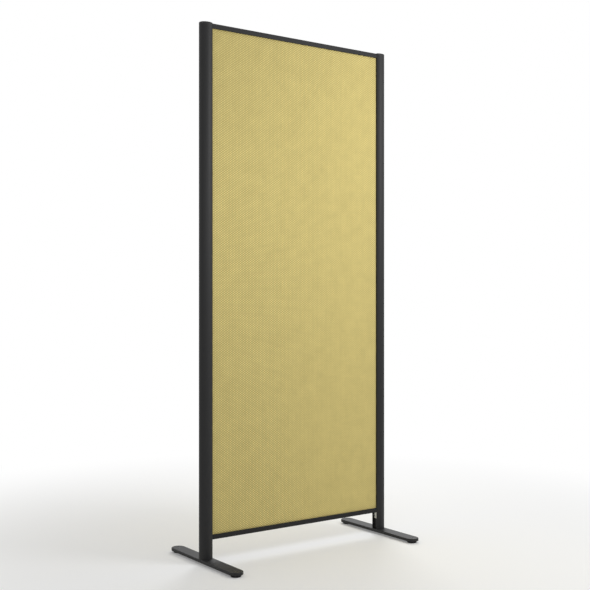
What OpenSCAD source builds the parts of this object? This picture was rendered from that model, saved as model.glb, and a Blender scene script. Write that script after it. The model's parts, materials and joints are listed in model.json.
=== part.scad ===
// Acoustic divider screen: two oval posts, two rails and an upholstered panel on a pair of foot bars.
// The origin is on the floor under the middle of the screen. X runs along the screen, the front looks
// along -Y, and Z is up.

/* [Screen] */
// Width over the two posts
screen_w = 800; // [600:10:1200]
// Height from the floor to the top of the caps
screen_h = 1800; // [1400:10:2000]
// Floor to the underside of the bottom rail
floor_gap = 80; // [70:1:160]

/* [Posts] */
// Post section along the screen, from its outer face to where the full oval would end
post_w = 48; // [46:0.5:54]
// Post section across the screen
post_d = 40; // [38:0.5:44]
// Radius of the oval's narrow ends
post_end_r = 18; // [17:0.25:18.5]
// Wall of the post extrusion
post_wall = 2; // [1.5:0.1:2.5]
// Wall of the two fins beside the panel groove
groove_fin = 1.8; // [1.5:0.1:2]
// Bore of the two screw ports inside the post
port_bore_d = 6.1; // [6.1:0.1:6.5]
// Wall round a screw port
port_wall = 1.6; // [1.2:0.1:2]
// Rib between the post's outer wall and the outer screw port
port_rib = 3.3; // [3:0.1:4]
// Width of the slot along each screw port
port_slot = 2.4; // [1.5:0.1:3]

/* [Rails] */
// Depth of the rails across the screen
rail_d = 27; // [26:0.1:28]
// Height of the rails
rail_h = 16; // [15.5:0.5:22]
// Outer walls of the rails
rail_wall = 2; // [1.8:0.1:2.4]
// Radius of the rails' two outer edges
rail_edge_r = 1.5; // [0.8:0.1:2]

/* [Caps] */
// How far the caps stand above the top rail
cap_proud = 2.5; // [1:0.25:4]
// Wall of the cap's rim
cap_rim = 1.8; // [1.5:0.1:2]
// Radius of the cap's upper edge
cap_edge_r = 1.5; // [1:0.25:3]
// Height of the crown in the middle of the cap's top
cap_crown = 0.6; // [0.2:0.1:1]
// Diameter of the cap's pegs
cap_peg_d = 4.4; // [3.5:0.1:6]
// Length of the cap's pegs below the post's end
cap_peg_l = 14; // [8:0.5:25]

/* [Panel] */
// Thickness of the panel over both fabrics
panel_t = 16; // [15.5:0.25:17]
// Thickness of the fabric
fabric_t = 1; // [0.6:0.1:1.5]
// How far the panel's edge reaches into a groove or a channel
panel_bite = 7; // [5:0.25:7]
// Thickness of the gaskets between the panel's faces and a groove's sides
gasket_t = 2.8; // [2.3:0.1:3]
// Thickness of the gaskets under the panel's edge
gasket_base_t = 0.9; // [0.6:0.1:1]
// Face width of the panel's stiles and battens
batten_w = 28; // [20:1:45]

/* [Joining plates] */
// Thickness of the tie plates and corner brackets
plate_t = 3; // [2.8:0.1:3.2]
// Width of the tie plates and corner brackets
plate_w = 20; // [18:0.25:20.25]
// Reach of a plate into the rail
plate_reach = 48; // [44:1:80]
// Tie plate's outer end to the inside of the cap's rim
tie_end_gap = 1.2; // [0.5:0.1:1.5]
// Length of the corner bracket's upright leg
bracket_leg = 30; // [24:1:45]
// Radius of the corner bracket's outer bend
bracket_bend_r = 4; // [3.5:0.25:5]

/* [Screws] */
// Diameter of the post screws
post_screw_d = 6; // [5.5:0.1:6]
// Diameter of the post screws' heads
post_screw_head_d = 11.3; // [10:0.1:11.6]
// Length of the tie plate screws
tie_screw_l = 20; // [12:1:40]
// Length of the foot screws
foot_screw_l = 30; // [20:1:50]
// Diameter of the rail and bracket screws
rail_screw_d = 4; // [3.5:0.1:4.5]
// Diameter of the rail and bracket screws' heads
rail_screw_head_d = 7.2; // [6.5:0.1:7.4]
// End of the rail to its first screw
rail_screw_inset = 14; // [12:1:16]
// Distance between the two screws in a rail's end
rail_screw_pitch = 22; // [12:1:24]
// Distance between the two screws in a bracket's upright leg
bracket_screw_pitch = 11; // [10:0.25:11.5]

/* [Feet] */
// Length of the foot bars across the screen
foot_l = 420; // [320:10:520]
// Width of the foot bars
foot_w = 48; // [48:1:60]
// Thickness of the foot bars
foot_t = 10; // [9:0.5:14]
// Chamfer round the foot's upper edge
foot_chamfer = 1.5; // [0.5:0.25:2.5]

/* [Glides] */
// Diameter of a glide's pad
pad_d = 34; // [26:1:40]
// Height of a glide's pad
pad_h = 7; // [6.5:0.25:10]
// Height of the pad's full-width edge
pad_edge_h = 3.2; // [2:0.1:4]
// Diameter of the pad's upper face
pad_top_d = 22; // [20:0.5:24]
// Radius of the finger grips round the pad
pad_grip_r = 5; // [3:0.25:6]
// Depth of the finger grips
pad_grip_depth = 1.2; // [0.6:0.1:2]
// Diameter of a glide's stud
stud_d = 8; // [6:0.5:10]
// Width across the flats of the stud's hexagon head
stud_head_af = 13; // [12.5:0.25:14]
// Height of the stud's hexagon head
stud_head_h = 4; // [3:0.25:5]
// Stud end to the foot's upper face, screwed fully in
stud_below = 0.5; // [0.3:0.1:1]
// Width across the flats of the hexagon socket in the stud's end
stud_socket_af = 4; // [3:0.5:4]
// Depth of the hexagon socket
stud_socket_depth = 4; // [2:0.25:6]

/* [Clearances] */
// Gap between pieces that slide together in assembly
fit_gap = 0.1; // [0.05:0.01:0.15]
// Radial gap between a screw or stud and its hole
screw_gap = 0.05; // [0.02:0.01:0.1]
// Gap between a foot and a glide that is screwed fully in
glide_gap = 0.2; // [0.1:0.05:0.5]

/* [Hidden] */

$fn = 64;
left = -1;
right = 1;
front = -1;
rear = 1;

// Overrun of every cut past the face that it opens
over = 1;
// Thickness of the layers that a rounded form is stretched over
layer_t = 0.01;
// How far a port or a peg sinks into the wall that carries it
root = 0.5;
// Cross recess in a screw's head, as shares of the head's diameter
recess_length_share = 0.5;
recess_width_share = 0.12;
recess_depth_share = 0.16;
// Straight rim of a countersunk head, as a share of its cone's height
rim_share = 0.125;
// Sides of a hexagon
hex_sides = 6;
// Finger grips round a pad
grip_count = 8;
// Layers of the cap's rounded edge
edge_steps = 5;
// Chords along each arc of the cap's outline
cap_chords = 14;
// Sides of the cap's pegs
peg_sides = 24;

// The oval is four arcs: two narrow ends, and a flatter front and back that meet them smoothly
end_centre = post_w/2 - post_end_r;
face_r = (pow(end_centre, 2) + pow(post_d/2, 2) - pow(post_end_r, 2))/(post_d - 2*post_end_r);
face_centre = face_r - post_d/2;
tangent_x = end_centre*face_r/(face_r - post_end_r);
tangent_y = face_centre*post_end_r/(face_r - post_end_r);
// The flat on the panel side is as wide as a rail is deep, and cuts the narrow end or the flatter faces
lip_x = rail_d/2 < tangent_y
    ? end_centre + sqrt(pow(post_end_r, 2) - pow(rail_d/2, 2))
    : sqrt(pow(face_r, 2) - pow(rail_d/2 + face_centre, 2));

post_x = screen_w/2 - post_w/2;
rail_half_l = post_x - lip_x - fit_gap;
panel_half_w = post_x - lip_x + panel_bite;

foot_z = pad_h + glide_gap;
post_bottom = foot_z + foot_t;
rail_top = screen_h - cap_proud;
chamber_h = plate_t + 2*fit_gap;
post_top = rail_top - rail_wall - plate_t - fit_gap;
panel_top = rail_top - rail_h + panel_bite;
panel_bottom = floor_gap + rail_h - panel_bite;

groove_half = panel_t/2 + gasket_t + fit_gap;
groove_floor = lip_x - panel_bite - gasket_base_t - fit_gap;
groove_back = groove_floor - post_wall;
channel_depth = panel_bite + gasket_base_t + fit_gap;
port_r = port_bore_d/2 + port_wall;
outer_port_x = -post_w/2 + post_wall + port_rib + port_r;
inner_port_x = groove_back + root - port_r;
port_x = [outer_port_x, inner_port_x];
tie_reach = post_w/2 - cap_rim - tie_end_gap;

core_half_w = panel_half_w - fabric_t;
core_half_t = panel_t/2 - fabric_t;
core_top = panel_top - fabric_t;
core_bottom = panel_bottom + fabric_t;

bracket_z = floor_gap + rail_wall + fit_gap;
bracket_foot_z = bracket_z + plate_t - bracket_leg;
bracket_screw_z = bracket_foot_z + rail_screw_head_d;
rail_screw_l = rail_wall + plate_t;
bracket_screw_l = plate_t + post_wall;
rail_screw_x = [rail_screw_inset, rail_screw_inset + rail_screw_pitch];

glide_y = foot_l/2 - foot_w/2;
// The hexagon's corners lie on this radius
head_r = stud_head_af/2/cos(180/hex_sides);
socket_r = stud_socket_af/2/cos(180/hex_sides);

black = "#34363a";
steel = "#a9adb1";
cloth = "#cdb973";
timber = "#c9a574";
wool = "#8f8a6b";
gum = "#26272a";

// A box from its lowest to its highest corner
module span_box(low, high) {
    translate(low) cube(high - low);
}

module rect(low, high) {
    translate(low) square(high - low);
}

// The post's oval, drawn in by a wall
module oval(inset = 0) {
    for (side = [left, right]) translate([side*end_centre, 0]) circle(post_end_r - inset);
    intersection() {
        translate([0, face_centre]) circle(face_r - inset);
        translate([0, -face_centre]) circle(face_r - inset);
        square([2*tangent_x*(face_r - inset)/face_r, post_d], center = true);
    }
}

// One screw port: a ring on a rib, with a slot along it
module port_rings() {
    for (x = port_x) translate([x, 0]) circle(port_r);
    rect([-post_w/2 + post_wall/2, -port_wall/2], [outer_port_x, port_wall/2]);
}

module port_bores() {
    for (x = port_x) translate([x, 0]) circle(port_bore_d/2);
    rect([outer_port_x, -port_slot/2], [inner_port_x, port_slot/2]);
}

// Section of the left post, with its groove towards +X
module post_section() {
    difference() {
        oval();
        rect([lip_x, -post_d], [post_w, post_d]);
        difference() {
            oval(post_wall);
            rect([groove_back, -groove_half - groove_fin], [post_w, groove_half + groove_fin]);
            port_rings();
        }
        port_bores();
        rect([groove_floor, -groove_half], [post_w, groove_half]);
    }
}

// Places a left-hand piece at the left or the right post
module at_post(side) {
    if (side == left) translate([-post_x, 0, 0]) children();
    else mirror([1, 0, 0]) translate([-post_x, 0, 0]) children();
}

module post(side) {
    color(black) at_post(side) difference() {
        translate([0, 0, post_bottom]) linear_extrude(post_top - post_bottom) post_section();
        for (y = [front, rear])
            translate([groove_back - over/2, y*bracket_screw_pitch/2, bracket_screw_z])
                rotate([0, 90, 0]) cylinder(h = post_wall + over, d = rail_screw_d + 2*screw_gap);
    }
}

// A countersunk screw along -Z from its head's flush face, or the hole for it with a gap
module countersunk(d, head_d, l, gap = 0) {
    cone_h = (head_d - d)/2;
    rim_h = cone_h*rim_share;
    translate([0, 0, -l]) cylinder(h = l, d = d + 2*gap);
    translate([0, 0, -rim_h - cone_h]) cylinder(h = cone_h, d1 = d + 2*gap, d2 = head_d + 2*gap);
    translate([0, 0, -rim_h]) cylinder(h = rim_h + (gap > 0 ? over : 0), d = head_d + 2*gap);
}

// A cross recess in a screw's head
module recess(head_d) {
    size = [head_d*recess_length_share, head_d*recess_width_share, head_d*recess_depth_share];
    for (turn = [0, 90])
        rotate([0, 0, turn])
            translate([-size.x/2, -size.y/2, -size.z]) cube([size.x, size.y, size.z + over]);
}

module screw(d, head_d, l) {
    color(steel) difference() {
        countersunk(d, head_d, l);
        recess(head_d);
    }
}

// Steel plate on the post's end, with its tongue in the top rail's chamber
module tie_plate(side) {
    color(steel) at_post(side) difference() {
        translate([0, 0, post_top]) linear_extrude(plate_t) {
            translate([-tie_reach + plate_w/2, 0]) circle(d = plate_w);
            rect([-tie_reach + plate_w/2, -plate_w/2], [lip_x + plate_reach, plate_w/2]);
        }
        for (x = port_x)
            translate([x, 0, post_top + plate_t])
                countersunk(post_screw_d, post_screw_head_d, plate_t + over, screw_gap);
        for (x = rail_screw_x)
            translate([lip_x + fit_gap + x, 0, post_top - over])
                cylinder(h = plate_t + 2*over, d = rail_screw_d + 2*screw_gap);
    }
}

module tie_plate_screws() {
    for (side = [left, right])
        at_post(side)
            for (x = port_x)
                translate([x, 0, post_top + plate_t])
                    screw(post_screw_d, post_screw_head_d, tie_screw_l);
}

function arc(centre, r, from, to) = [
    for (k = [0 : cap_chords])
        let (a = from + (to - from)*k/cap_chords) centre + r*[cos(a), sin(a)]
];

// Half of the drawn-in oval's depth at a place along the screen
function half_depth(x, inset) = x*(face_r - post_end_r) > end_centre*(face_r - inset)
    ? sqrt(pow(post_end_r - inset, 2) - pow(x - end_centre, 2))
    : sqrt(pow(face_r - inset, 2) - pow(x, 2)) - face_centre;

// The post's outline as one ring of points, drawn in by a wall, with its flat towards the panel
function cap_ring(inset) =
    let (
        flat_x = lip_x - inset,
        flat_y = half_depth(flat_x, inset),
        meet_a = atan2(face_centre, end_centre),
        rear_arc = arc([0, -face_centre], face_r - inset, meet_a, 180 - meet_a),
        outer_arc = arc([-end_centre, 0], post_end_r - inset, 180 - meet_a, 180 + meet_a),
        front_arc = arc([0, face_centre], face_r - inset, 180 + meet_a, 360 - meet_a)
    )
    concat(
        [[flat_x, flat_y]],
        [for (k = [0 : cap_chords - 1]) if (rear_arc[k].x < flat_x - root) rear_arc[k]],
        [for (k = [0 : cap_chords - 1]) outer_arc[k]],
        [for (p = front_arc) if (p.x < flat_x - root) p],
        [[flat_x, -flat_y]]
    );

// The rounded cap body, before it is hollowed
module cap_body() {
    shoulder_z = screen_h - cap_crown - cap_edge_r;
    hull() {
        translate([0, 0, post_top]) linear_extrude(shoulder_z - post_top) polygon(cap_ring(0));
        for (step = [1 : edge_steps]) {
            a = 90*step/edge_steps;
            translate([0, 0, shoulder_z + cap_edge_r*sin(a)])
                linear_extrude(layer_t) polygon(cap_ring(cap_edge_r*(1 - cos(a))));
        }
        translate([0, 0, screen_h - layer_t]) linear_extrude(layer_t) polygon(cap_ring(post_d/4));
    }
}

// Outline of the cap's hollow, with its way out towards the rail
module cap_hollow() {
    polygon(cap_ring(cap_rim));
    rect([0, -plate_w/2 - fit_gap], [post_w, plate_w/2 + fit_gap]);
}

// Moulded cap: a shallow lid over the tie plate, with two pegs that grip the post's walls from inside
module top_cap(side) {
    hollow_top = post_top + plate_t + fit_gap;
    peg_y = post_d/2 - post_wall - fit_gap - cap_peg_d/2;
    color(black) at_post(side) {
        difference() {
            cap_body();
            translate([0, 0, post_top - over]) linear_extrude(hollow_top - post_top + over) cap_hollow();
        }
        for (y = [front, rear])
            translate([0, y*peg_y, post_top - cap_peg_l])
                cylinder(h = hollow_top + root - post_top + cap_peg_l, d = cap_peg_d, $fn = peg_sides);
    }
}

// Section of a rail as X = across the screen and Y = up, with its channel open downwards
module rail_section() {
    difference() {
        union() {
            for (side = [left, right])
                translate([side*(rail_d/2 - rail_edge_r), -rail_edge_r]) circle(rail_edge_r);
            rect([-rail_d/2 + rail_edge_r, -rail_edge_r], [rail_d/2 - rail_edge_r, 0]);
            rect([-rail_d/2, -rail_h], [rail_d/2, -rail_edge_r]);
        }
        rect([-rail_d/2 + rail_wall, -rail_wall - chamber_h], [rail_d/2 - rail_wall, -rail_wall]);
        rect([-groove_half, -rail_h - over], [groove_half, -rail_h + channel_depth]);
    }
}

// A rail with its screw holes, its closed face at height 0 and its channel open downwards
module rail() {
    color(black) difference() {
        translate([-rail_half_l, 0, 0]) rotate([90, 0, 90]) linear_extrude(2*rail_half_l) rail_section();
        for (side = [left, right], x = rail_screw_x)
            translate([side*(rail_half_l - x), 0, 0])
                countersunk(rail_screw_d, rail_screw_head_d, rail_wall + fit_gap, screw_gap);
    }
}

module rail_screws() {
    for (side = [left, right], x = rail_screw_x)
        translate([side*(rail_half_l - x), 0, 0]) screw(rail_screw_d, rail_screw_head_d, rail_screw_l);
}

module at_top_rail() {
    translate([0, 0, rail_top]) children();
}

module at_bottom_rail() {
    translate([0, 0, floor_gap]) mirror([0, 0, 1]) children();
}

// Section of a corner bracket: a level leg into the rail and an upright leg down the groove
module bracket_section() {
    start = groove_floor;
    top = bracket_z + plate_t;
    difference() {
        union() {
            rect([start + bracket_bend_r, bracket_z], [lip_x + plate_reach, top]);
            rect([start, bracket_foot_z], [start + plate_t, top - bracket_bend_r]);
            translate([start + bracket_bend_r, top - bracket_bend_r]) circle(bracket_bend_r);
        }
        translate([start + plate_t, bracket_foot_z])
            square([bracket_bend_r, bracket_z - bracket_foot_z]);
    }
}

module corner_bracket(side) {
    color(steel) at_post(side) difference() {
        translate([0, plate_w/2, 0]) rotate([90, 0, 0]) linear_extrude(plate_w) bracket_section();
        for (x = rail_screw_x)
            translate([lip_x + fit_gap + x, 0, bracket_z - over])
                cylinder(h = plate_t + 2*over, d = rail_screw_d + 2*screw_gap);
        for (y = [front, rear])
            translate([groove_floor + plate_t, y*bracket_screw_pitch/2, bracket_screw_z])
                rotate([0, 90, 0])
                    countersunk(rail_screw_d, rail_screw_head_d, plate_t + over, screw_gap);
    }
}

module bracket_screws() {
    for (side = [left, right], y = [front, rear])
        at_post(side)
            translate([groove_floor + plate_t, y*bracket_screw_pitch/2, bracket_screw_z])
                rotate([0, 90, 0]) screw(rail_screw_d, rail_screw_head_d, bracket_screw_l);
}

// The panel's timber frame: stiles run the full height and the battens lie between them
module stile(side) {
    inner = core_half_w - batten_w;
    color(timber)
        span_box([side == left ? -core_half_w : inner, -core_half_t, core_bottom],
            [side == left ? -inner : core_half_w, core_half_t, core_top]);
}

module batten(low) {
    half = core_half_w - batten_w - fit_gap;
    color(timber) span_box([-half, -core_half_t, low], [half, core_half_t, low + batten_w]);
}

module acoustic_core() {
    half = core_half_w - batten_w - fit_gap;
    color(wool)
        span_box([-half, -core_half_t + fit_gap, core_bottom + batten_w + fit_gap],
            [half, core_half_t - fit_gap, core_top - batten_w - fit_gap]);
}

// One face's cloth, turned in round the panel's edge as far as its middle
module fabric(face) {
    color(cloth) mirror([0, face == front ? 1 : 0, 0]) difference() {
        span_box([-panel_half_w, fit_gap/2, panel_bottom], [panel_half_w, panel_t/2, panel_top]);
        span_box([-core_half_w - fit_gap/2, -over, core_bottom - fit_gap/2],
            [core_half_w + fit_gap/2, core_half_t + fit_gap/2, core_top + fit_gap/2]);
    }
}

// Section of a gasket round the panel's edge: X = across the panel, Y = away from its edge
module gasket_section() {
    outer = panel_t/2 + gasket_t;
    inner = panel_t/2 + fit_gap/2;
    difference() {
        rect([-outer, -panel_bite + fit_gap], [outer, gasket_base_t]);
        rect([-inner, -panel_bite - over], [inner, fit_gap/2]);
    }
}

module side_gasket(side) {
    color(gum) translate([side*panel_half_w, 0, panel_bottom])
        rotate([0, 0, side == left ? 90 : -90])
            linear_extrude(panel_top - panel_bottom) gasket_section();
}

module rail_gasket(height, flip) {
    color(gum) translate([-rail_half_l, 0, height]) mirror([0, 0, flip])
        rotate([90, 0, 90]) linear_extrude(2*rail_half_l) gasket_section();
}

// Half of the foot's section: X = from its middle line outwards, Y = up from its underside
module foot_half_section() {
    polygon([
        [0, 0], [foot_w/2, 0], [foot_w/2, foot_t - foot_chamfer], [foot_w/2 - foot_chamfer, foot_t], [0, foot_t]
    ]);
}

module foot_bar() {
    straight = foot_l - foot_w;
    translate([0, straight/2, 0]) rotate([90, 0, 0]) linear_extrude(straight) {
        foot_half_section();
        mirror([1, 0]) foot_half_section();
    }
    for (end = [front, rear])
        translate([0, end*straight/2, 0]) rotate_extrude() foot_half_section();
}

module foot(side) {
    color(black) at_post(side) difference() {
        translate([0, 0, foot_z]) foot_bar();
        for (x = port_x)
            translate([x, 0, foot_z]) mirror([0, 0, 1])
                countersunk(post_screw_d, post_screw_head_d, foot_t + over, screw_gap);
        for (end = [front, rear])
            translate([0, end*glide_y, foot_z - over])
                cylinder(h = foot_t + 2*over, d = stud_d + 2*screw_gap);
    }
}

module foot_screws() {
    for (side = [left, right])
        at_post(side)
            for (x = port_x)
                translate([x, 0, foot_z]) mirror([0, 0, 1])
                    screw(post_screw_d, post_screw_head_d, foot_screw_l);
}

module at_glide(side, end) {
    at_post(side) translate([0, end*glide_y, 0]) children();
}

// Steel stud: a hexagon head held in the pad, and a shank up through the foot
module glide_stud(side, end) {
    head_z = pad_h - stud_head_h;
    stud_top = post_bottom - stud_below;
    color(steel) at_glide(side, end) difference() {
        union() {
            translate([0, 0, head_z]) cylinder(h = stud_head_h, r = head_r, $fn = hex_sides);
            translate([0, 0, head_z]) cylinder(h = stud_top - head_z, d = stud_d);
        }
        translate([0, 0, stud_top - stud_socket_depth])
            cylinder(h = stud_socket_depth + over, r = socket_r, $fn = hex_sides);
    }
}

// Moulded pad: a low cone with finger grips round its edge
module glide_pad(side, end) {
    edge_r = pad_d/2;
    toe = pad_edge_h/4;
    color(gum) at_glide(side, end) difference() {
        rotate_extrude() polygon([
            [0, 0], [edge_r - toe, 0], [edge_r, toe], [edge_r, pad_edge_h], [pad_top_d/2, pad_h], [0, pad_h]
        ]);
        translate([0, 0, pad_h - stud_head_h - fit_gap])
            cylinder(h = stud_head_h + fit_gap + over, r = head_r + fit_gap, $fn = hex_sides);
        for (k = [0 : grip_count - 1])
            rotate([0, 0, 360*k/grip_count])
                translate([edge_r + pad_grip_r - pad_grip_depth, 0, -over])
                    cylinder(h = pad_h + 2*over, r = pad_grip_r);
    }
}

post(left);  // left_post
post(right);  // right_post
top_cap(left);  // left_top_cap
top_cap(right);  // right_top_cap
tie_plate(left);  // left_tie_plate
tie_plate(right);  // right_tie_plate
tie_plate_screws();
at_top_rail() rail();  // top_rail
at_top_rail() rail_screws();  // top_rail_screws
at_bottom_rail() rail();  // bottom_rail
at_bottom_rail() rail_screws();  // bottom_rail_screws
corner_bracket(left);  // left_corner_bracket
corner_bracket(right);  // right_corner_bracket
bracket_screws();
stile(left);  // panel_left_stile
stile(right);  // panel_right_stile
batten(core_top - batten_w);  // panel_top_batten
batten(core_bottom);  // panel_bottom_batten
acoustic_core();
fabric(front);  // front_fabric
fabric(rear);  // rear_fabric
side_gasket(left);  // left_edge_gasket
side_gasket(right);  // right_edge_gasket
rail_gasket(panel_top, 0);  // top_edge_gasket
rail_gasket(panel_bottom, 1);  // bottom_edge_gasket
foot(left);  // left_foot
foot(right);  // right_foot
foot_screws();
glide_stud(left, front);  // front_left_glide_stud
glide_pad(left, front);  // front_left_glide_pad
glide_stud(right, front);  // front_right_glide_stud
glide_pad(right, front);  // front_right_glide_pad
glide_stud(left, rear);  // rear_left_glide_stud
glide_pad(left, rear);  // rear_left_glide_pad
glide_stud(right, rear);  // rear_right_glide_stud
glide_pad(right, rear);  // rear_right_glide_pad
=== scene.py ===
# Acoustic divider screen: two powder-coated posts and rails round a panel in woven cloth, on flat foot bars.
import json
import math
import bmesh
import bpy
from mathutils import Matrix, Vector

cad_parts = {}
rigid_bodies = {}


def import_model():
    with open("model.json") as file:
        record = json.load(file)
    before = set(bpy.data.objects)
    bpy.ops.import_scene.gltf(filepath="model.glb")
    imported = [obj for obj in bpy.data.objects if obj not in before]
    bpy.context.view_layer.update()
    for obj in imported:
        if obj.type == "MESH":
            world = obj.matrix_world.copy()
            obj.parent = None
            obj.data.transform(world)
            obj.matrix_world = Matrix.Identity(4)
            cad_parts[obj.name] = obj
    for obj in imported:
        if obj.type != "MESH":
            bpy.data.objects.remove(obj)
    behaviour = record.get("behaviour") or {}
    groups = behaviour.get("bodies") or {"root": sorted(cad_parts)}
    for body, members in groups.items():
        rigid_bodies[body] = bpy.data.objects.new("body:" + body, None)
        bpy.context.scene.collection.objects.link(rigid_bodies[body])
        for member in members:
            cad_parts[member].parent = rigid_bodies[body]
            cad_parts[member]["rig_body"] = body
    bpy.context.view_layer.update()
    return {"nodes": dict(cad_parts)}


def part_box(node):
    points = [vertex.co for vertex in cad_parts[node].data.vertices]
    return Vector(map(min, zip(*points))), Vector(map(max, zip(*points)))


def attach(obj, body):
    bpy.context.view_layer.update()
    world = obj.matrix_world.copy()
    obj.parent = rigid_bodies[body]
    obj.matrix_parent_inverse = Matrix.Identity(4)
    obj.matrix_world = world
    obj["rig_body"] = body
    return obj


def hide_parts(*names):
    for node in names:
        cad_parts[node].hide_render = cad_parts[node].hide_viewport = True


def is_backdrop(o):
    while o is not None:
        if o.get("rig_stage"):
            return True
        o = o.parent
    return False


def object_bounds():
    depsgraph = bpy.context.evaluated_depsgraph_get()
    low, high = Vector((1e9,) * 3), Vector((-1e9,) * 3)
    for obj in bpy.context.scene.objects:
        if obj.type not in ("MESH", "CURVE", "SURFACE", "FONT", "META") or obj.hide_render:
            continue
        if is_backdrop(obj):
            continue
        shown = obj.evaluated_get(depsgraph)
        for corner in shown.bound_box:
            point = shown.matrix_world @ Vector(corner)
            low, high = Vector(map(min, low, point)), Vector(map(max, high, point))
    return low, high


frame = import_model()
nodes = frame["nodes"]
mm = 0.001

# Colours are written as sRGB in hex, and this curve turns them into the linear light that shaders take.
srgbCurve = {
    "whiteLevel": 255,
    "straightUpTo": 0.04045,
    "straightSlope": 12.92,
    "offset": 0.055,
    "power": 2.4,
}
# Where a mix node has its two inputs and its result, for each kind of data that it mixes.
mixSockets = {"RGBA": (6, 7, 2), "FLOAT": (2, 3, 0)}


def hexToLinear(hexText):
    curve = srgbCurve
    linear = []
    for start in (1, 3, 5):
        share = int(hexText[start:start + 2], 16) / curve["whiteLevel"]
        if share <= curve["straightUpTo"]:
            linear.append(share / curve["straightSlope"])
        else:
            linear.append(((share + curve["offset"]) / (1 + curve["offset"])) ** curve["power"])
    return linear + [1.0]


def addNode(tree, kind, settings=None, inputs=None):
    node = tree.nodes.new(kind)
    for name, value in (settings or {}).items():
        setattr(node, name, value)
    for socket, value in (inputs or {}).items():
        if isinstance(value, bpy.types.NodeSocket):
            tree.links.new(value, node.inputs[socket])
        else:
            node.inputs[socket].default_value = value
    return node


def addMath(tree, operation, *values):
    return addNode(tree, "ShaderNodeMath", {"operation": operation}, dict(enumerate(values))).outputs[0]


def addMix(tree, share, first, second, kind="RGBA"):
    firstSocket, secondSocket, result = mixSockets[kind]
    first, second = (hexToLinear(value) if isinstance(value, str) else value for value in (first, second))
    return addNode(tree, "ShaderNodeMix", {"data_type": kind}, {
        0: share, firstSocket: first, secondSocket: second}).outputs[result]


def addNoise(tree, place, size, detail=2.0, roughness=0.5, distortion=0.0):
    return addNode(tree, "ShaderNodeTexNoise", inputs={
        "Vector": place, "Scale": 1 / size, "Detail": detail, "Roughness": roughness,
        "Distortion": distortion}).outputs["Fac"]


def addRange(tree, value, limits=(0.0, 1.0), results=(0.0, 1.0), curve="LINEAR"):
    return addNode(tree, "ShaderNodeMapRange", {"interpolation_type": curve}, {
        "Value": value, "From Min": limits[0], "From Max": limits[1],
        "To Min": results[0], "To Max": results[1]}).outputs["Result"]


def addStretch(tree, place, scale, shift=(0, 0, 0)):
    return addNode(tree, "ShaderNodeMapping", inputs={
        "Vector": place, "Location": shift, "Scale": scale}).outputs[0]


def stretchAlong(tree, place, along, width, length):
    return addStretch(tree, place, [1 / (length if axis == along else width) for axis in "XYZ"])


def addBump(tree, height, strength, depth):
    return addNode(tree, "ShaderNodeBump", inputs={
        "Height": height, "Strength": strength, "Distance": depth}).outputs["Normal"]


def startMaterial(name):
    material = bpy.data.materials.new(name)
    material.use_nodes = True
    material.node_tree.nodes.clear()
    coordinates = addNode(material.node_tree, "ShaderNodeTexCoord")
    return material, material.node_tree, coordinates.outputs["Object"]


def endMaterial(material, shader):
    addNode(material.node_tree, "ShaderNodeOutputMaterial", inputs={"Surface": shader.outputs[0]})
    return material


def surfaceMaterial(material, inputs):
    return endMaterial(material, addNode(material.node_tree, "ShaderNodeBsdfPrincipled", inputs=inputs))


# Polyester powder coat, sprayed and baked: satin, near black, with a faint orange peel and a fine speckle.
powderCoat = {
    "colour": "#1b1b1c",
    "speckle": "#262627",
    "speckleSize": 0.5 * mm,
    "speckleDetail": 1.0,
    "speckleRange": (0.45, 0.75),
    "peelSize": 1.6 * mm,
    "peelRoughness": 0.4,
    "peelStrength": 0.5,
    "peelDepth": 0.02 * mm,
    "roughness": (0.5, 0.62),
    "specular": 0.35,
}
# The rails take the posts' coat painted a shade darker, as painted shade on their flat faces, and with a
# lower specular level.
shadedRailCoat = dict(powderCoat, colour="#161617", specular=0.28)


def powderCoatedMetal(name, look=powderCoat):
    material, tree, place = startMaterial(name)
    peel = addNoise(tree, place, look["peelSize"], roughness=look["peelRoughness"])
    speckle = addNoise(tree, place, look["speckleSize"], detail=look["speckleDetail"])
    speckleShare = addRange(tree, speckle, look["speckleRange"])
    return surfaceMaterial(material, {
        "Base Color": addMix(tree, speckleShare, look["colour"], look["speckle"]),
        "Roughness": addRange(tree, peel, results=look["roughness"]),
        "Specular IOR Level": look["specular"],
        "Normal": addBump(tree, peel, look["peelStrength"], look["peelDepth"])})


# Plain-woven polyester cloth: pale warp over straw-yellow weft, so it reads as rows of fine dots that climb
# to the right, clear towards one side and closed up towards the other. The yarns are drawn coarser than such
# cloth has them, because a finer weave is lost between the picture's pixels.
clothWeave = {
    "plain": "#cfbe7a",
    "warp": "#efe09a",
    "weft": "#b9a763",
    "gap": "#857643",
    "warpPitch": 5.8 * mm,
    "weftPitch": 3.9 * mm,
    "twillShare": 0.2,
    "warpRange": (-0.3, 0.5),
    "yarnRoundness": 0.5,
    "yarnRange": (0.0, 0.55),
    "yarnStrength": 0.6,
    "yarnHeight": 0.4 * mm,
    "clearWidth": 600 * mm,
    "clearHeight": 1400 * mm,
    "clearPlace": (11.1, 0, 0),
    "clearDetail": 1.0,
    "clearRange": (0.35, 0.65),
    "clearness": (0.22, 0.88),
    "slubLength": 60 * mm,
    "slubWidth": 4 * mm,
    "mottleSize": 45 * mm,
    "mottleDetail": 3.0,
    "unevenRange": (0.6, 1.4),
    "tone": (0.92, 1.08),
    "roughness": 0.92,
    "specular": 0.2,
    "sheen": 0.15,
    "sheenRoughness": 0.5,
}


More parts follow.
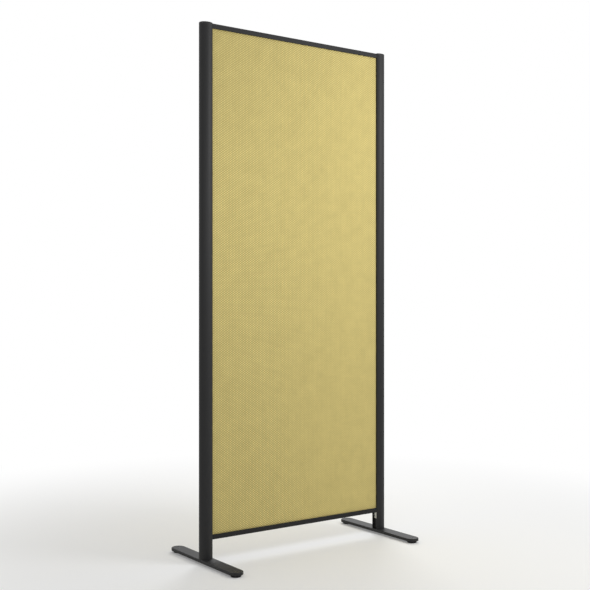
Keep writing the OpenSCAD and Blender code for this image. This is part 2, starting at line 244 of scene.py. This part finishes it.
def wovenCloth(name, look=clothWeave):
    material, tree, place = startMaterial(name)
    axes = addNode(tree, "ShaderNodeSeparateXYZ", inputs={"Vector": place})
    turns = [addMath(tree, "MULTIPLY", axes.outputs[axis], math.pi / look[pitch])
             for axis, pitch in (("X", "warpPitch"), ("Z", "weftPitch"))]
    waves = [addMath(tree, "SINE", turn) for turn in turns]
    over = addMath(tree, "MULTIPLY", *waves)
    rib = addMath(tree, "COSINE", addMath(tree, "SUBTRACT", *turns))
    lifted = addMath(tree, "MULTIPLY_ADD", rib, look["twillShare"], over)
    warpShare = addRange(tree, lifted, look["warpRange"], curve="SMOOTHSTEP")
    yarns = addMix(tree, warpShare, look["weft"], look["warp"])
    # Where the yarns dip between their crossings the colour darkens to the gap shade: painted shade in the
    # weave's low places.
    height = addMath(tree, "POWER", addMath(tree, "ABSOLUTE", over), look["yarnRoundness"])
    yarnShare = addRange(tree, height, look["yarnRange"], curve="SMOOTHSTEP")
    shadedWeave = addMix(tree, yarnShare, look["gap"], yarns)
    clearScale = (-1 / look["clearWidth"], 1, 1 / look["clearHeight"])
    across = addStretch(tree, place, clearScale, look["clearPlace"])
    drift = addNoise(tree, across, 1.0, detail=look["clearDetail"])
    clearShare = addRange(tree, drift, look["clearRange"], look["clearness"])
    cloth = addMix(tree, clearShare, look["plain"], shadedWeave)
    # Slubs are thick places that run along single yarns, and the mottle is the dye's slow unevenness.
    width, length = look["slubWidth"], look["slubLength"]
    warpSlubs = addNoise(tree, addStretch(tree, place, (1 / width, 1, 1 / length)), 1.0)
    weftSlubs = addNoise(tree, addStretch(tree, place, (1 / length, 1, 1 / width)), 1.0)
    slubs = addMix(tree, warpShare, weftSlubs, warpSlubs, kind="FLOAT")
    mottle = addNoise(tree, place, look["mottleSize"], detail=look["mottleDetail"])
    tone = addRange(tree, addMath(tree, "ADD", slubs, mottle), look["unevenRange"], look["tone"])
    colour = addNode(tree, "ShaderNodeVectorMath", {"operation": "SCALE"}, {0: cloth, "Scale": tone})
    return surfaceMaterial(material, {
        "Base Color": colour.outputs[0],
        "Roughness": look["roughness"],
        "Specular IOR Level": look["specular"],
        "Sheen Weight": look["sheen"],
        "Sheen Roughness": look["sheenRoughness"],
        "Sheen Tint": hexToLinear(look["warp"]),
        "Normal": addBump(tree, height, look["yarnStrength"], look["yarnHeight"])})


# Injection-moulded nylon: black, from a spark-eroded mould, so it is matt with a fine even grain.
mouldedNylon = {
    "colour": "#1d1d1e",
    "worn": "#2c2c2d",
    "flowSize": 14 * mm,
    "flowDetail": 4.0,
    "grainSize": 0.7 * mm,
    "grainSmoothness": 0.6,
    "grainStrength": 0.4,
    "grainDepth": 0.03 * mm,
    "roughness": (0.5, 0.68),
    "refraction": 1.53,
    "specular": 0.35,
}


def mouldedPlastic(name, look=mouldedNylon):
    material, tree, place = startMaterial(name)
    grain = addNode(tree, "ShaderNodeTexVoronoi", {"feature": "SMOOTH_F1"}, {
        "Vector": place, "Scale": 1 / look["grainSize"],
        "Smoothness": look["grainSmoothness"]}).outputs["Distance"]
    flow = addNoise(tree, place, look["flowSize"], detail=look["flowDetail"])
    return surfaceMaterial(material, {
        "Base Color": addMix(tree, flow, look["colour"], look["worn"]),
        "Roughness": addRange(tree, grain, results=look["roughness"]),
        "IOR": look["refraction"],
        "Specular IOR Level": look["specular"],
        "Normal": addBump(tree, grain, look["grainStrength"], look["grainDepth"])})


# Zinc-plated steel with a clear passivate: bright grey with a faint blue and straw cloud and fine scratches
# along the way it was rolled or turned.
zincPlate = {
    "colour": "#b9bdc2",
    "cloud": "#c6c2ae",
    "cloudSize": 9 * mm,
    "cloudDetail": 3.0,
    "scratchLength": 12 * mm,
    "scratchWidth": 0.25 * mm,
    "scratchStrength": 0.5,
    "scratchDepth": 0.01 * mm,
    "scratchRange": (0.3, 0.7),
    "roughness": (0.26, 0.42),
}


def zincPlatedSteel(name, along, look=zincPlate):
    material, tree, place = startMaterial(name)
    cloud = addNoise(tree, place, look["cloudSize"], detail=look["cloudDetail"])
    lines = stretchAlong(tree, place, along, look["scratchWidth"], look["scratchLength"])
    scratch = addNoise(tree, lines, 1.0)
    return surfaceMaterial(material, {
        "Base Color": addMix(tree, cloud, look["colour"], look["cloud"]),
        "Metallic": 1.0,
        "Roughness": addRange(tree, scratch, look["scratchRange"], look["roughness"]),
        "Normal": addBump(tree, scratch, look["scratchStrength"], look["scratchDepth"])})


# Planed pine: pale early wood with darker late rings, which run along the length of each piece.
pineWood = {
    "earlyWood": "#d9bd8c",
    "lateWood": "#a87a45",
    "grainSpacing": 2.0,
    "grainDetail": 3.0,
    "grainWander": 0.3,
    "ringWidth": 3.2 * mm,
    "ringLength": 420 * mm,
    "ringRange": (0.42, 0.66),
    "poreWidth": 0.35 * mm,
    "poreLength": 9 * mm,
    "poreStrength": 0.6,
    "poreDepth": 0.06 * mm,
    "roughness": 0.62,
}


def planedPine(name, along, look=pineWood):
    material, tree, place = startMaterial(name)
    rings, pores = (addNoise(
        tree, stretchAlong(tree, place, along, look[layer + "Width"], look[layer + "Length"]),
        look["grainSpacing"], detail=look["grainDetail"], distortion=look["grainWander"])
        for layer in ("ring", "pore"))
    lateShare = addRange(tree, rings, look["ringRange"], curve="SMOOTHSTEP")
    return surfaceMaterial(material, {
        "Base Color": addMix(tree, lateShare, look["earlyWood"], look["lateWood"]),
        "Roughness": look["roughness"],
        "Normal": addBump(tree, pores, look["poreStrength"], look["poreDepth"])})


# Needled polyester felt from recycled fibres: grey green, flecked with stray pale and dark fibres.
coreFelt = {
    "fibre": "#8a8566",
    "fleck": "#c7c2a6",
    "fleckSize": 2.2 * mm,
    "fleckDetail": 4.0,
    "fleckCurl": 1.2,
    "fleckRange": (0.52, 0.7),
    "tuftSize": 7 * mm,
    "tuftDetail": 5.0,
    "tuftStrength": 0.7,
    "tuftDepth": 0.6 * mm,
    "roughness": 0.95,
    "specular": 0.2,
}


def needledFelt(name, look=coreFelt):
    material, tree, place = startMaterial(name)
    fleck = addNoise(tree, place, look["fleckSize"], detail=look["fleckDetail"], distortion=look["fleckCurl"])
    fleckShare = addRange(tree, fleck, look["fleckRange"])
    tuft = addNoise(tree, place, look["tuftSize"], detail=look["tuftDetail"])
    return surfaceMaterial(material, {
        "Base Color": addMix(tree, fleckShare, look["fibre"], look["fleck"]),
        "Roughness": look["roughness"],
        "Specular IOR Level": look["specular"],
        "Normal": addBump(tree, tuft, look["tuftStrength"], look["tuftDepth"])})


# Extruded rubber seal: dull black, with faint draw lines along its length and a dusting of chalk.
sealRubber = {
    "colour": "#161616",
    "chalk": "#2b2b2a",
    "chalkSize": 6 * mm,
    "chalkDetail": 4.0,
    "drawLineWidth": 0.6 * mm,
    "drawLineLength": 200 * mm,
    "drawLineStrength": 0.5,
    "drawLineDepth": 0.03 * mm,
    "roughness": 0.8,
    "specular": 0.3,
}


def extrudedRubber(name, along, look=sealRubber):
    material, tree, place = startMaterial(name)
    chalk = addNoise(tree, place, look["chalkSize"], detail=look["chalkDetail"])
    lines = stretchAlong(tree, place, along, look["drawLineWidth"], look["drawLineLength"])
    draw = addNoise(tree, lines, 1.0)
    return surfaceMaterial(material, {
        "Base Color": addMix(tree, chalk, look["colour"], look["chalk"]),
        "Roughness": look["roughness"],
        "Specular IOR Level": look["specular"],
        "Normal": addBump(tree, draw, look["drawLineStrength"], look["drawLineDepth"])})


# Timber and rubber have a grain along their length, so pieces that lie level take a finish of their own.
finishes = {
    "post_coating": powderCoatedMetal("powderCoatedPost"),
    "rail_coating": powderCoatedMetal("powderCoatedRail", shadedRailCoat),
    "foot_coating": powderCoatedMetal("powderCoatedFoot"),
    "cap_plastic": mouldedPlastic("mouldedNylonCap"),
    "glide_plastic": mouldedPlastic("mouldedNylonGlide"),
    "plate_steel": zincPlatedSteel("zincPlatedStrip", along="X"),
    "screw_steel": zincPlatedSteel("zincPlatedScrew", along="Z"),
    "glide_steel": zincPlatedSteel("zincPlatedStud", along="Z"),
    "panel_timber": planedPine("planedPineUpright", along="Z"),
    "core_wool": needledFelt("needledFelt"),
    "panel_cloth": wovenCloth("wovenPolyesterCloth"),
    "gasket_rubber": extrudedRubber("extrudedRubberUpright", along="Z"),
}
levelFinishes = {
    "panel_timber": planedPine("planedPineLevel", along="X"),
    "gasket_rubber": extrudedRubber("extrudedRubberLevel", along="X"),
}
for nodeName, node in nodes.items():
    slotName = node.data.materials[0].name.split(".")[0]
    low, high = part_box(nodeName)
    isLevel = high.x - low.x > high.z - low.z
    choice = levelFinishes if isLevel and slotName in levelFinishes else finishes
    node.data.materials[0] = choice[slotName]
print("finishes on", len(nodes), "nodes")

# How near a plane an edge has to lie to be in it, and how squarely a face has to look along an axis.
inPlane = 0.01 * mm
squarely = 0.99


def deselectAll():
    if bpy.context.object and bpy.context.object.mode != "OBJECT":
        bpy.ops.object.mode_set(mode="OBJECT")
    bpy.ops.object.select_all(action="DESELECT")


def takeUp(piece):
    deselectAll()
    piece.select_set(True)
    bpy.context.view_layer.objects.active = piece


def selectParts(piece, kind, wanted):
    bpy.ops.mesh.select_mode(type={"edges": "EDGE", "faces": "FACE"}[kind])
    bpy.ops.mesh.select_all(action="DESELECT")
    mesh = bmesh.from_edit_mesh(piece.data)
    for part in getattr(mesh, kind):
        if wanted(part):
            part.select_set(True)
    bmesh.update_edit_mesh(piece.data)


def liesAt(edge, axis, level):
    return all(abs(getattr(vertex.co, axis) - level) < inPlane for vertex in edge.verts)


def turnNormalsOut():
    bpy.ops.mesh.select_all(action="SELECT")
    bpy.ops.mesh.normals_make_consistent(inside=False)


def applyModifier(piece, kind, **settings):
    modifier = piece.modifiers.new(kind.lower(), kind)
    for name, value in settings.items():
        setattr(modifier, name, value)
    takeUp(piece)
    bpy.ops.object.modifier_apply(modifier=modifier.name)


def combine(piece, operation, tool):
    applyModifier(piece, "BOOLEAN", operation=operation, object=tool, solver="EXACT")
    bpy.data.objects.remove(tool)


def duplicate(piece):
    copy = piece.copy()
    copy.data = piece.data.copy()
    for key in list(copy.keys()):
        del copy[key]
    copy.parent = None
    bpy.context.scene.collection.objects.link(copy)
    takeUp(copy)
    return copy


def pieceName(nodeName):
    words = nodeName.split("_")
    return words[0] + "".join(word.title() for word in words[1:])


def finishPiece(piece, name, nodeName, sharpAngle=40):
    piece.name = name
    piece.data.name = name
    takeUp(piece)
    bpy.ops.object.transform_apply(location=True, rotation=True, scale=True)
    bpy.ops.object.shade_smooth_by_angle(angle=math.radians(sharpAngle))
    piece.data.materials.clear()
    piece.data.materials.append(nodes[nodeName].data.materials[0])
    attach(piece, nodes[nodeName]["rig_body"])
    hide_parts(nodeName)
    return piece


# Cloth stretched over the panel's frame. The core behind it stands a little proud, so the face rolls up from
# its edges to a slight crown, and the edge is turned in round the frame as far as the panel's middle.
clothSheet = {
    "thickness": 1.0 * mm,
    "cornerRadius": 2.0 * mm,
    "cornerSteps": 4,
    "flatEdge": 5.0 * mm,
    "crown": 3.0 * mm,
    "crownReach": 40 * mm,
    "crownSteps": 10,
    "crownPower": 3,
}


def stretchCloth(name, nodeName, facing):
    look = clothSheet
    low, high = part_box(nodeName)
    size = high - low
    face = high.y if facing > 0 else low.y
    deselectAll()
    bpy.ops.mesh.primitive_plane_add(size=1, location=(0, 0, 0), rotation=(-facing * math.pi / 2, 0, 0))
    piece = bpy.context.object
    piece.scale = (size.x, size.z, 1)
    bpy.ops.object.transform_apply(location=True, rotation=True, scale=True)
    bpy.ops.object.mode_set(mode="EDIT")
    bpy.ops.transform.translate(value=((low.x + high.x) / 2, face, (low.z + high.z) / 2))
    selectParts(piece, "edges", lambda edge: True)
    bpy.ops.mesh.extrude_edges_move(TRANSFORM_OT_translate={"value": (0, -facing * size.y, 0)})
    selectParts(piece, "edges", lambda edge: liesAt(edge, "y", face))
    bpy.ops.mesh.bevel(offset=look["cornerRadius"], segments=look["cornerSteps"], affect="EDGES")
    selectParts(piece, "faces", lambda part: abs(part.normal.y) > squarely)
    bpy.ops.mesh.inset(thickness=look["flatEdge"], depth=0)
    for step in range(look["crownSteps"]):
        shares = [1 - (1 - at / look["crownSteps"]) ** look["crownPower"] for at in (step, step + 1)]
        bpy.ops.mesh.inset(thickness=look["crownReach"] / look["crownSteps"],
                           depth=look["crown"] * (shares[1] - shares[0]))
    bpy.ops.object.mode_set(mode="OBJECT")
    applyModifier(piece, "SOLIDIFY", thickness=look["thickness"], offset=-1)
    finishPiece(piece, name, nodeName)


stretchCloth("frontCloth", "front_fabric", facing=-1)
stretchCloth("rearCloth", "rear_fabric", facing=1)
print("cloth stretched over the panel")

# Moulded cap on a post's end: the post's oval with a flat towards the rail, a rounded edge and a low crown.
# Below it is hollow, with a mouth in the flat for the tie plate. Two pegs grip the post's walls from inside.
postCap = {
    "postWidth": 48 * mm,
    "endRadius": 18 * mm,
    "endSteps": 20,
    "faceSteps": 22,
    "cornerSteps": 1,
    "rim": 1.8 * mm,
    "edgeRadius": 1.5 * mm,
    "edgeSteps": 5,
    "crownShare": 0.72,
    "crownHeight": 0.6 * mm,
    "lidDepth": 3.1 * mm,
    "mouthWidth": 20.2 * mm,
    "pegDiameter": 4.4 * mm,
    "pegLength": 14 * mm,
    "pegOffset": 15.7 * mm,
    "pegSides": 32,
    "pegRounding": 0.55 * mm,
    "pegRoundingSteps": 2,
}


# Four arcs that meet in a tangent make the oval: two narrow ends, and a flatter front and back whose radius
# follows from the post's depth. The spin starts at one lip of the flat and ends at the other.
def drawOval(place, halfDepth, flat):
    look = postCap
    endRadius = look["endRadius"]
    endCentre = look["postWidth"] / 2 - endRadius
    faceRadius = (endCentre ** 2 + halfDepth ** 2 - endRadius ** 2) / (2 * (halfDepth - endRadius))
    faceCentre = faceRadius - halfDepth
    meet = math.atan2(faceCentre, endCentre)
    lip = math.acos((flat - endCentre) / endRadius)
    deselectAll()
    bpy.ops.mesh.primitive_plane_add(size=1, location=(0, 0, 0))
    piece = bpy.context.object
    bpy.ops.object.mode_set(mode="EDIT")
    bpy.ops.mesh.select_mode(type="VERT")
    bpy.ops.mesh.select_all(action="SELECT")
    bpy.ops.mesh.merge(type="CENTER")
    bpy.ops.transform.translate(value=(place.x + flat, place.y + endRadius * math.sin(lip), place.z))
    arcs = [(endCentre, 0, lip, meet, look["cornerSteps"]),
            (0, -faceCentre, meet, math.pi - meet, look["faceSteps"]),
            (-endCentre, 0, math.pi - meet, math.pi + meet, look["endSteps"]),
            (0, faceCentre, math.pi + meet, 2 * math.pi - meet, look["faceSteps"]),
            (endCentre, 0, -meet, -lip, look["cornerSteps"])]
    for x, y, start, end, steps in arcs:
        bpy.ops.mesh.spin(steps=steps, angle=start - end, axis=(0, 0, 1),
                          center=(place.x + x, place.y + y, place.z))
    bpy.ops.mesh.select_all(action="SELECT")
    bpy.ops.mesh.remove_doubles(threshold=inPlane)
    bpy.ops.mesh.edge_face_add()
    return piece


def mouldPeg(x, y, low, length):
    look = postCap
    deselectAll()
    bpy.ops.mesh.primitive_cylinder_add(
        vertices=look["pegSides"], radius=look["pegDiameter"] / 2, depth=length,
        location=(x, y, low + length / 2))
    peg = bpy.context.object
    bpy.ops.object.mode_set(mode="EDIT")
    selectParts(peg, "faces", lambda part: part.normal.z < -squarely)
    bpy.ops.mesh.bevel(offset=look["pegRounding"], segments=look["pegRoundingSteps"], affect="EDGES")
    bpy.ops.object.mode_set(mode="OBJECT")
    return peg


def mouldCap(name, nodeName):
    look = postCap
    low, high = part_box(nodeName)
    place = Vector((low.x + look["postWidth"] / 2, 0, low.z + look["pegLength"]))
    piece = drawOval(place, (high.y - low.y) / 2, high.x - place.x)
    lid = high.z - look["crownHeight"] - place.z
    bpy.ops.mesh.extrude_region_move(TRANSFORM_OT_translate={"value": (0, 0, lid)})
    turnNormalsOut()
    selectParts(piece, "edges", lambda edge: liesAt(edge, "z", place.z + lid))
    bpy.ops.mesh.bevel(offset=look["edgeRadius"], segments=look["edgeSteps"], affect="EDGES")
    selectParts(piece, "faces", lambda part: part.normal.z > squarely)
    bpy.ops.mesh.extrude_region_move(TRANSFORM_OT_translate={"value": (0, 0, look["crownHeight"])})
    bpy.ops.transform.resize(value=(look["crownShare"], look["crownShare"], 1), center_override=place)
    selectParts(piece, "faces", lambda part: part.normal.z < -squarely)
    bpy.ops.mesh.inset(thickness=look["rim"])
    bpy.ops.transform.translate(value=(0, 0, look["lidDepth"]))
    # The mouth's middle lies in the flat and in the cap's lower face, so a quarter of the block cuts.
    deselectAll()
    bpy.ops.mesh.primitive_cube_add(size=1, location=(high.x, 0, place.z))
    mouth = bpy.context.object
    mouth.scale = (4 * look["rim"], look["mouthWidth"], 2 * look["lidDepth"])
    combine(piece, "DIFFERENCE", mouth)
    length = look["pegLength"] + look["lidDepth"] + look["crownHeight"]
    for side in (-1, 1):
        combine(piece, "UNION", mouldPeg(place.x, side * look["pegOffset"], low.z, length))
    return finishPiece(piece, name, nodeName)


def mirrorPiece(piece, name, nodeName):
    copy = duplicate(piece)
    copy.scale = (-1, 1, 1)
    bpy.ops.object.transform_apply(location=True, rotation=True, scale=True)
    bpy.ops.object.mode_set(mode="EDIT")
    turnNormalsOut()
    finishPiece(copy, name, nodeName)


leftCap = mouldCap("leftCap", "left_top_cap")
mirrorPiece(leftCap, "rightCap", "right_top_cap")
print("caps moulded")

# Levelling stud: a chamfered hexagon head, and a shank with a rolled coarse thread and a hexagon socket.
levellingStud = {
    "threadDiameter": 8 * mm,
    "threadPitch": 1.25 * mm,
    "threadDepth": 0.65 * mm,
    "threadSteps": 24,
    "ridgeHalfShare": 0.45,
    "ridgeSunk": 0.1 * mm,
    "threadEnd": 0.7 * mm,
    "endBevel": 0.35 * mm,
    "coreSides": 48,
    "hexSides": 6,
    "headAcross": 13 * mm,
    "headHeight": 4 * mm,
    "headFace": 12.4 * mm,
    "headSlope": 60,
    "socketAcross": 4 * mm,
    "socketDepth": 4 * mm,
    "socketOverrun": 1 * mm,
    "sharpAngle": 25,
}


def addPrism(sides, radius, low, high, place):
    deselectAll()
    bpy.ops.mesh.primitive_cylinder_add(
        vertices=sides, radius=radius, depth=high - low, rotation=(0, 0, math.pi / sides),
        location=(place.x, place.y, (low + high) / 2))
    return bpy.context.object


# A triangular ridge is swept up the screw line, and its two open ends are closed.
def rollThread(place, low, high):
    look = levellingStud
    pitch = look["threadPitch"]
    outer = look["threadDiameter"] / 2
    root = outer - look["threadDepth"] - look["ridgeSunk"]
    half = look["ridgeHalfShare"] * pitch
    profile = ((root, -half), (outer, 0.0), (root, half))
    turns = int((high - low) / pitch) - 1
    deselectAll()
    bpy.ops.mesh.primitive_circle_add(vertices=len(profile), radius=pitch / 2, fill_type="NOTHING")
    ridge = bpy.context.object
    for vertex, (x, z) in zip(ridge.data.vertices, profile):
        vertex.co = (x, 0, z)
    ridge.location = (place.x, place.y, low + pitch / 2)
    applyModifier(ridge, "SCREW", angle=2 * math.pi * turns, screw_offset=pitch * turns,
                  steps=look["threadSteps"] * turns, axis="Z", use_merge_vertices=False)
    bpy.ops.object.mode_set(mode="EDIT")
    bpy.ops.mesh.select_mode(type="EDGE")
    bpy.ops.mesh.select_all(action="DESELECT")
    bpy.ops.mesh.select_non_manifold()
    bpy.ops.mesh.edge_face_add()
    turnNormalsOut()
    bpy.ops.object.mode_set(mode="OBJECT")
    return ridge


def turnStud(nodeName):
    look = levellingStud
    low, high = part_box(nodeName)
    place = (low + high) / 2
    headTop = low.z + look["headHeight"]
    # A hexagon that is 1 across its flats has its corners at this radius.
    hexRadius = 1 / math.cos(math.pi / look["hexSides"]) / 2
    stud = addPrism(look["hexSides"], look["headAcross"] * hexRadius, low.z, headTop, place)
    # A cone that narrows upwards takes the corners off the head's upper face.
    flare = look["headHeight"] * math.tan(math.radians(look["headSlope"]))
    deselectAll()
    bpy.ops.mesh.primitive_cone_add(
        vertices=look["coreSides"], radius1=look["headFace"] / 2 + flare, radius2=look["headFace"] / 2,
        depth=look["headHeight"], location=(place.x, place.y, (low.z + headTop) / 2))
    combine(stud, "INTERSECT", bpy.context.object)
    # The shank's core starts inside the head, so that the two join.
    core = addPrism(look["coreSides"], look["threadDiameter"] / 2 - look["threadDepth"],
                    headTop - look["headHeight"] / 2, high.z, place)
    bpy.ops.object.mode_set(mode="EDIT")
    selectParts(core, "faces", lambda part: part.normal.z > squarely)
    bpy.ops.mesh.bevel(offset=look["endBevel"], segments=1, affect="EDGES")
    combine(core, "DIFFERENCE", addPrism(
        look["hexSides"], look["socketAcross"] * hexRadius,
        high.z - look["socketDepth"], high.z + look["socketOverrun"], place))
    ridge = rollThread(place, headTop, high.z - look["threadEnd"])
    for part in (core, ridge):
        combine(stud, "UNION", part)
    return finishPiece(stud, pieceName(nodeName), nodeName, look["sharpAngle"])


def copyStud(stud, fromNode, nodeName):
    copy = duplicate(stud)
    copy.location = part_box(nodeName)[0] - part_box(fromNode)[0]
    finishPiece(copy, pieceName(nodeName), nodeName, levellingStud["sharpAngle"])


firstStud = turnStud("front_left_glide_stud")
for corner in ("front_right", "rear_left", "rear_right"):
    copyStud(firstStud, "front_left_glide_stud", corner + "_glide_stud")
print("four studs turned and threaded")

# Bars, posts, rails and pads keep their CAD form, with the edges that show broken by a fine file cut: a
# post's long lips beside the panel, and the outlines of rails and feet clear of their screw holes. The pads'
# edges run into their finger grips at a flat angle, which leaves room for a small cut alone.
brokenEdges = {
    "left_post": 0.4 * mm,
    "right_post": 0.4 * mm,
    "top_rail": 0.3 * mm,
    "bottom_rail": 0.3 * mm,
    "left_foot": 0.5 * mm,
    "right_foot": 0.5 * mm,
    "front_left_glide_pad": 0.08 * mm,
    "front_right_glide_pad": 0.08 * mm,
    "rear_left_glide_pad": 0.08 * mm,
    "rear_right_glide_pad": 0.08 * mm,
}
fileCut = {
    "mergeWithin": 0.002 * mm,
    "flatWithin": math.radians(0.5),
    "sharpFrom": math.radians(32),
    "lipReach": 2.5 * mm,
    "lipLength": 1000 * mm,
    "steps": 2,
    "sharpAngle": 30,
    "normalWeight": 100,
}
# Where rails and feet have holes in one quarter of the screen, which the other quarters mirror, and how far
# round each hole the edges stay as they are.
holes = {
    "rail": {"places": ((343.99 * mm, 0), (321.99 * mm, 0)), "reach": 6 * mm},
    "foot": {"places": ((376 * mm, 186 * mm), (390.05 * mm, 0), (372.24 * mm, 0)), "reach": 9 * mm},
}


# flat is how far the side that faces the panel lies from the screen's middle.
def showsSharp(edge, kind, flat):
    if len(edge.link_faces) != 2 or edge.calc_face_angle() < fileCut["sharpFrom"]:
        return False
    ends = [vertex.co for vertex in edge.verts]
    if kind == "post":
        isLong = abs(ends[0].z - ends[1].z) > fileCut["lipLength"]
        return isLong and all(abs(end.x) - flat < fileCut["lipReach"] for end in ends)
    if kind in holes:
        return all(math.dist((abs(end.x), abs(end.y)), hole) > holes[kind]["reach"]
                   for end in ends for hole in holes[kind]["places"])
    return True


def softenNode(nodeName, width):
    piece = duplicate(nodes[nodeName])
    bpy.ops.object.mode_set(mode="EDIT")
    bpy.ops.mesh.select_all(action="SELECT")
    bpy.ops.mesh.remove_doubles(threshold=fileCut["mergeWithin"])
    bpy.ops.mesh.customdata_custom_splitnormals_clear()
    bpy.ops.mesh.dissolve_limited(angle_limit=fileCut["flatWithin"])
    low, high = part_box(nodeName)
    kind, flat = nodeName.split("_")[-1], min(abs(low.x), abs(high.x))
    selectParts(piece, "edges", lambda edge: showsSharp(edge, kind, flat))
    bpy.ops.mesh.bevel(offset=width, segments=fileCut["steps"], affect="EDGES", clamp_overlap=True)
    finishPiece(piece, pieceName(nodeName), nodeName, fileCut["sharpAngle"])
    applyModifier(piece, "WEIGHTED_NORMAL", keep_sharp=True, weight=fileCut["normalWeight"])


for nodeName, width in brokenEdges.items():
    softenNode(nodeName, width)
print("edges broken on", len(brokenEdges), "pieces")

# A white backdrop for the camera and for gloss, and for everything else a soft grey light that is stronger
# from above and from the right. The floor fades into the backdrop away from the screen.
studio = {
    "white": (1, 1, 1, 1),
    "ambientBelow": 0.31,
    "ambientAbove": 0.59,
    "ambientRight": 0.07,
    "floorHalf": 14.0,
    "floorColour": "#f1f1ef",
    "floorRoughness": 0.85,
    "floorSpecular": 0.2,
    "fadeFrom": 0.6,
    "fadeTo": 2.2,
    "fadeLeast": 0.2,
    "lampAim": (0.0, 0.0, 1.0),
}
# A soft lamp before the screen, a weak one near its left end and one behind it.
lamps = {
    "key": {"place": (0.78, -1.25, 1.68), "size": 0.8, "power": 13.0},
    "near": {"place": (-0.39, -0.6, 1.21), "size": 0.4, "power": 0.5},
    "rear": {"place": (1.3, 1.4, 1.6), "size": 0.8, "power": 20.0},
}
# The camera stands level at chest height, left of the screen, and sees its left end nearest.
eye = {
    "place": (-2.0815, -2.8715, 0.8939),
    "azimuth": 35.801,
    "focalPixels": 1000,
    "picturePixels": 590,
    "sensorWidth": 36,
}


def makeWorld():
    world = bpy.data.worlds.new("studioWorld")
    world.use_nodes = True
    tree = world.node_tree
    tree.nodes.clear()
    path = addNode(tree, "ShaderNodeLightPath")
    seen = path.outputs["Is Camera Ray"]
    for ray in ("Is Glossy Ray", "Is Transmission Ray"):
        seen = addMath(tree, "MAXIMUM", seen, path.outputs[ray])
    coordinates = addNode(tree, "ShaderNodeTexCoord")
    way = addNode(tree, "ShaderNodeSeparateXYZ", inputs={"Vector": coordinates.outputs["Generated"]})
    above = addRange(tree, way.outputs["Z"], (-1.0, 1.0), (studio["ambientBelow"], studio["ambientAbove"]))
    strength = addMath(tree, "MULTIPLY_ADD", way.outputs["X"], studio["ambientRight"], above)
    ambient = addNode(tree, "ShaderNodeBackground", inputs={"Color": studio["white"], "Strength": strength})
    backdrop = addNode(tree, "ShaderNodeBackground", inputs={"Color": studio["white"], "Strength": 1.0})
    mixed = addNode(tree, "ShaderNodeMixShader", inputs={
        0: seen, 1: ambient.outputs[0], 2: backdrop.outputs[0]})
    addNode(tree, "ShaderNodeOutputWorld", inputs={"Surface": mixed.outputs[0]})
    bpy.context.scene.world = world


def makeFloor():
    bpy.ops.mesh.primitive_plane_add(size=2 * studio["floorHalf"], location=(0, 0, 0))
    floor = bpy.context.object
    floor.name = "studioFloor"
    material, tree, place = startMaterial("paleFloor")
    distance = addNode(tree, "ShaderNodeVectorMath", {"operation": "LENGTH"}, {0: place})
    fade = addRange(tree, distance.outputs["Value"], (studio["fadeFrom"], studio["fadeTo"]),
                    (studio["fadeLeast"], 1.0), curve="SMOOTHSTEP")
    path = addNode(tree, "ShaderNodeLightPath")
    share = addMath(tree, "MULTIPLY", fade, path.outputs["Is Camera Ray"])
    matt = addNode(tree, "ShaderNodeBsdfPrincipled", inputs={
        "Base Color": hexToLinear(studio["floorColour"]), "Roughness": studio["floorRoughness"],
        "Specular IOR Level": studio["floorSpecular"]})
    glow = addNode(tree, "ShaderNodeEmission", inputs={"Color": studio["white"], "Strength": 1.0})
    endMaterial(material, addNode(tree, "ShaderNodeMixShader", inputs={
        0: share, 1: matt.outputs[0], 2: glow.outputs[0]}))
    floor.data.materials.append(material)
    floor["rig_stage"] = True


def makeLamp(name, look):
    place = Vector(look["place"])
    bpy.ops.object.light_add(type="AREA", location=place)
    lamp = bpy.context.object
    lamp.name = name + "Lamp"
    lamp.data.shape = "SQUARE"
    lamp.data.size = look["size"]
    lamp.data.energy = look["power"]
    lamp.visible_camera = False
    lamp.rotation_euler = (Vector(studio["lampAim"]) - place).to_track_quat("-Z", "Y").to_euler()


def makeCamera():
    level = math.pi / 2
    bpy.ops.object.camera_add(location=eye["place"], rotation=(level, 0, -math.radians(eye["azimuth"])))
    camera = bpy.context.object
    camera.name = "studioCamera"
    camera.data.sensor_width = eye["sensorWidth"]
    camera.data.lens = eye["focalPixels"] / eye["picturePixels"] * eye["sensorWidth"]
    bpy.context.scene.camera = camera


makeWorld()
makeFloor()
for lampName, look in lamps.items():
    makeLamp(lampName, look)
makeCamera()
bpy.context.scene.view_settings.view_transform = "Standard"
print("studio set")

low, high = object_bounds()
